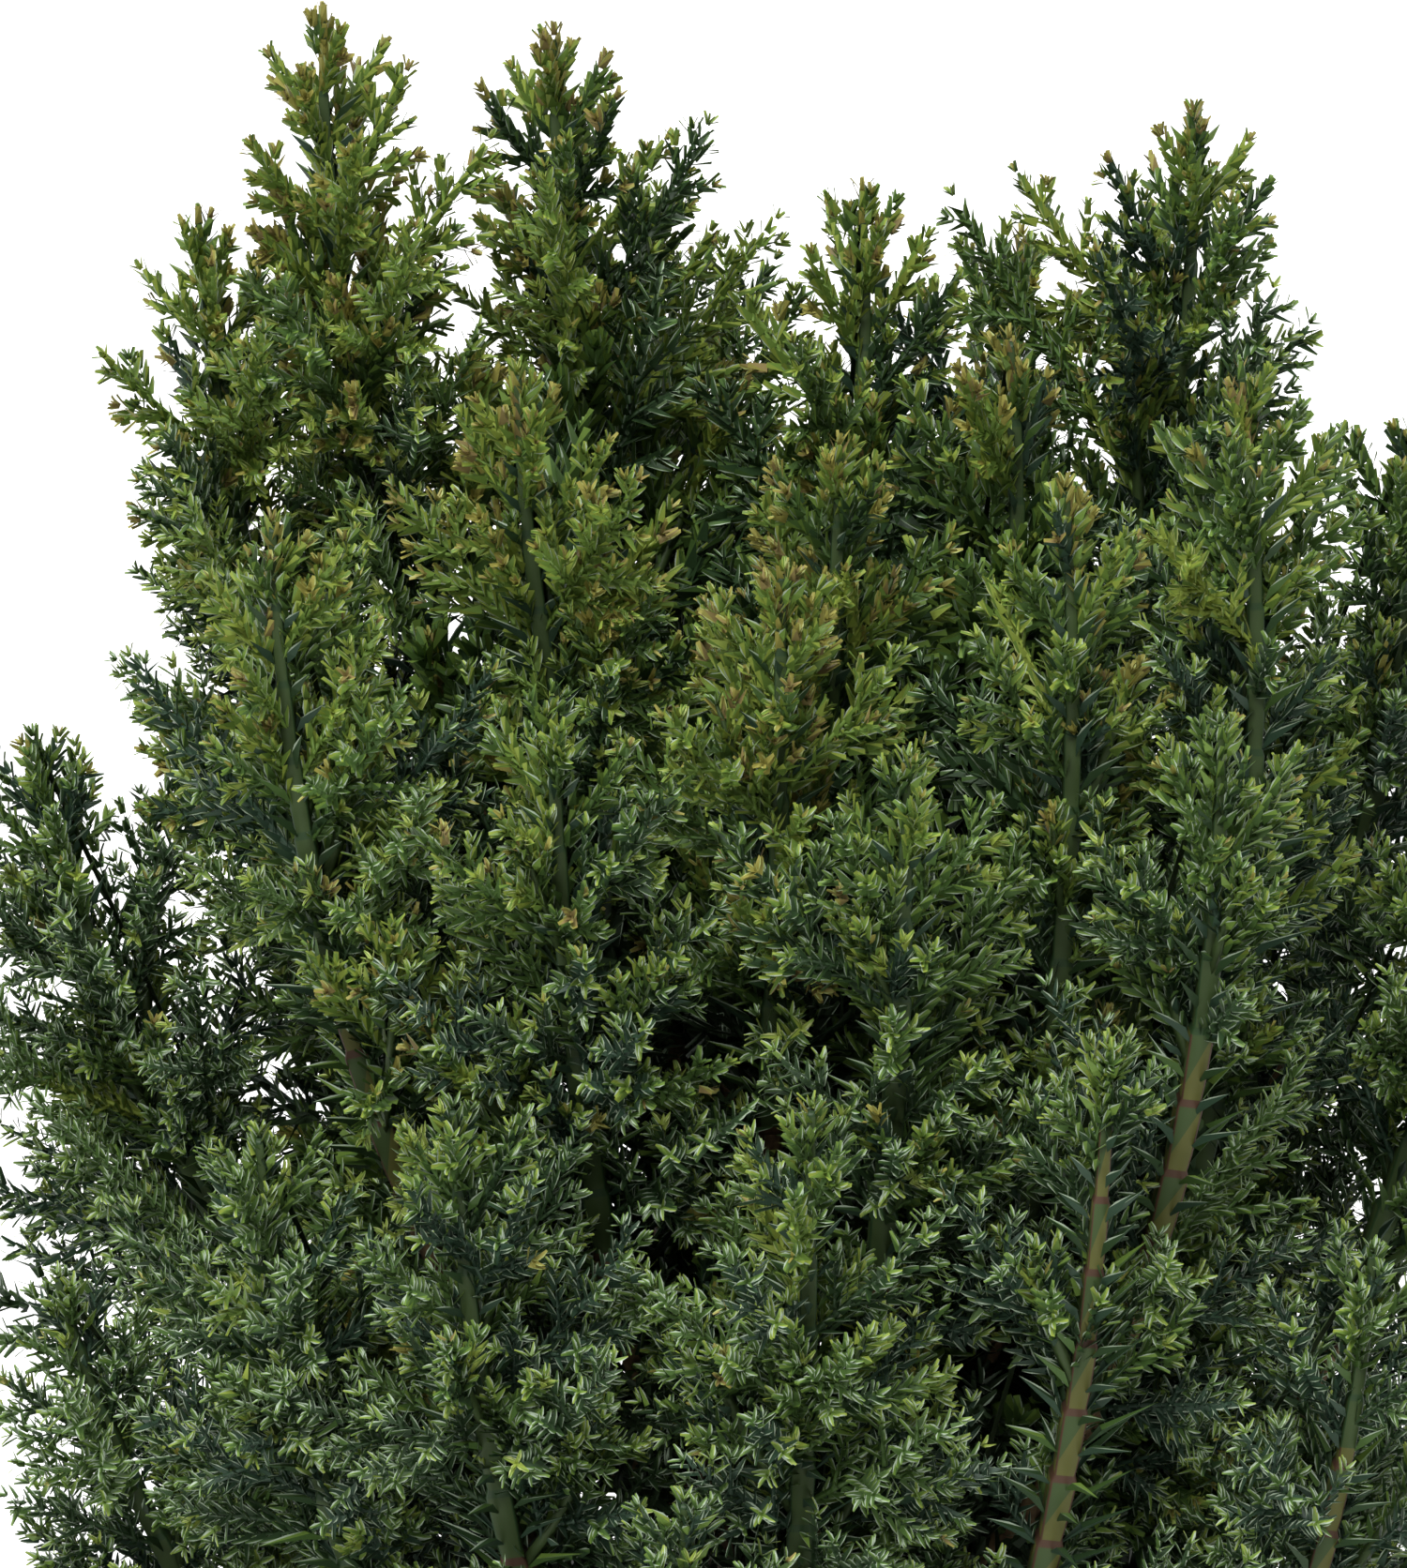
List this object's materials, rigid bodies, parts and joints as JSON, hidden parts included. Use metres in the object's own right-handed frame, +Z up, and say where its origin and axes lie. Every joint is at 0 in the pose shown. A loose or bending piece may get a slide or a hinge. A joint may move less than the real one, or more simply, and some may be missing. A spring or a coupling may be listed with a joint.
{
  "type": "dwarf lawson cypress shrub",
  "caption": "Small dense upright conifer with many feathery needle plumes on ascending boughs, rooted in the ground by a flared trunk.",
  "frame": {"origin": "middle of the flat cut under the trunk, at ground level", "axes": "+Z up along the trunk; the pictured side faces -Y, and +X is to the right in the picture"},
  "size_m": [0.2199, 0.2132, 0.318],
  "materials": {
    "trunk_bark": "rough stringy brown bark",
    "bough_bark": "olive brown young bark in overlapping leaf bases",
    "foliage": "matt green needles with a pale waxy inner side"
  },
  "bodies": {
    "root": {"bough_crown_back": "bough_bark", "bough_crown_back_left": "bough_bark", "bough_crown_back_right": "bough_bark", "bough_crown_left": "bough_bark", "bough_crown_right": "bough_bark", "bough_front_centre": "bough_bark", "bough_front_left": "bough_bark", "bough_front_left_inner": "bough_bark", "bough_front_lower_right": "bough_bark", "bough_front_right": "bough_bark", "bough_front_right_tall": "bough_bark", "bough_front_tall": "bough_bark", "bough_front_upper_left": "bough_bark", "bough_left_high": "bough_bark", "bough_left_middle": "bough_bark", "bough_right_high": "bough_bark", "bough_right_middle": "bough_bark", "foliage_back_low_1": "foliage", "foliage_back_low_2": "foliage", "foliage_back_low_3": "foliage", "foliage_back_low_4": "foliage", "foliage_back_middle_1": "foliage", "foliage_back_middle_2": "foliage", "foliage_back_middle_3": "foliage", "foliage_back_middle_4": "foliage", "foliage_crown_back": "foliage", "foliage_crown_back_left": "foliage", "foliage_crown_back_right": "foliage", "foliage_crown_leader": "foliage", "foliage_crown_left": "foliage", "foliage_crown_right": "foliage", "foliage_front_centre": "foliage", "foliage_front_far_left": "foliage", "foliage_front_far_right": "foliage", "foliage_front_inner": "foliage", "foliage_front_left": "foliage", "foliage_front_left_inner": "foliage", "foliage_front_low": "foliage", "foliage_front_lower_left": "foliage", "foliage_front_lower_right": "foliage", "foliage_front_middle": "foliage", "foliage_front_right": "foliage", "foliage_front_right_inner": "foliage", "foliage_front_right_tall": "foliage", "foliage_front_tall": "foliage", "foliage_front_upper": "foliage", "foliage_front_upper_left": "foliage", "foliage_left_high": "foliage", "foliage_left_low": "foliage", "foliage_left_middle": "foliage", "foliage_right_high": "foliage", "foliage_right_middle": "foliage", "foliage_skirt_1": "foliage", "foliage_skirt_2": "foliage", "foliage_skirt_3": "foliage", "foliage_skirt_4": "foliage", "foliage_skirt_5": "foliage", "foliage_skirt_6": "foliage", "foliage_skirt_7": "foliage", "trunk": "trunk_bark"}
  },
  "joints": []
}
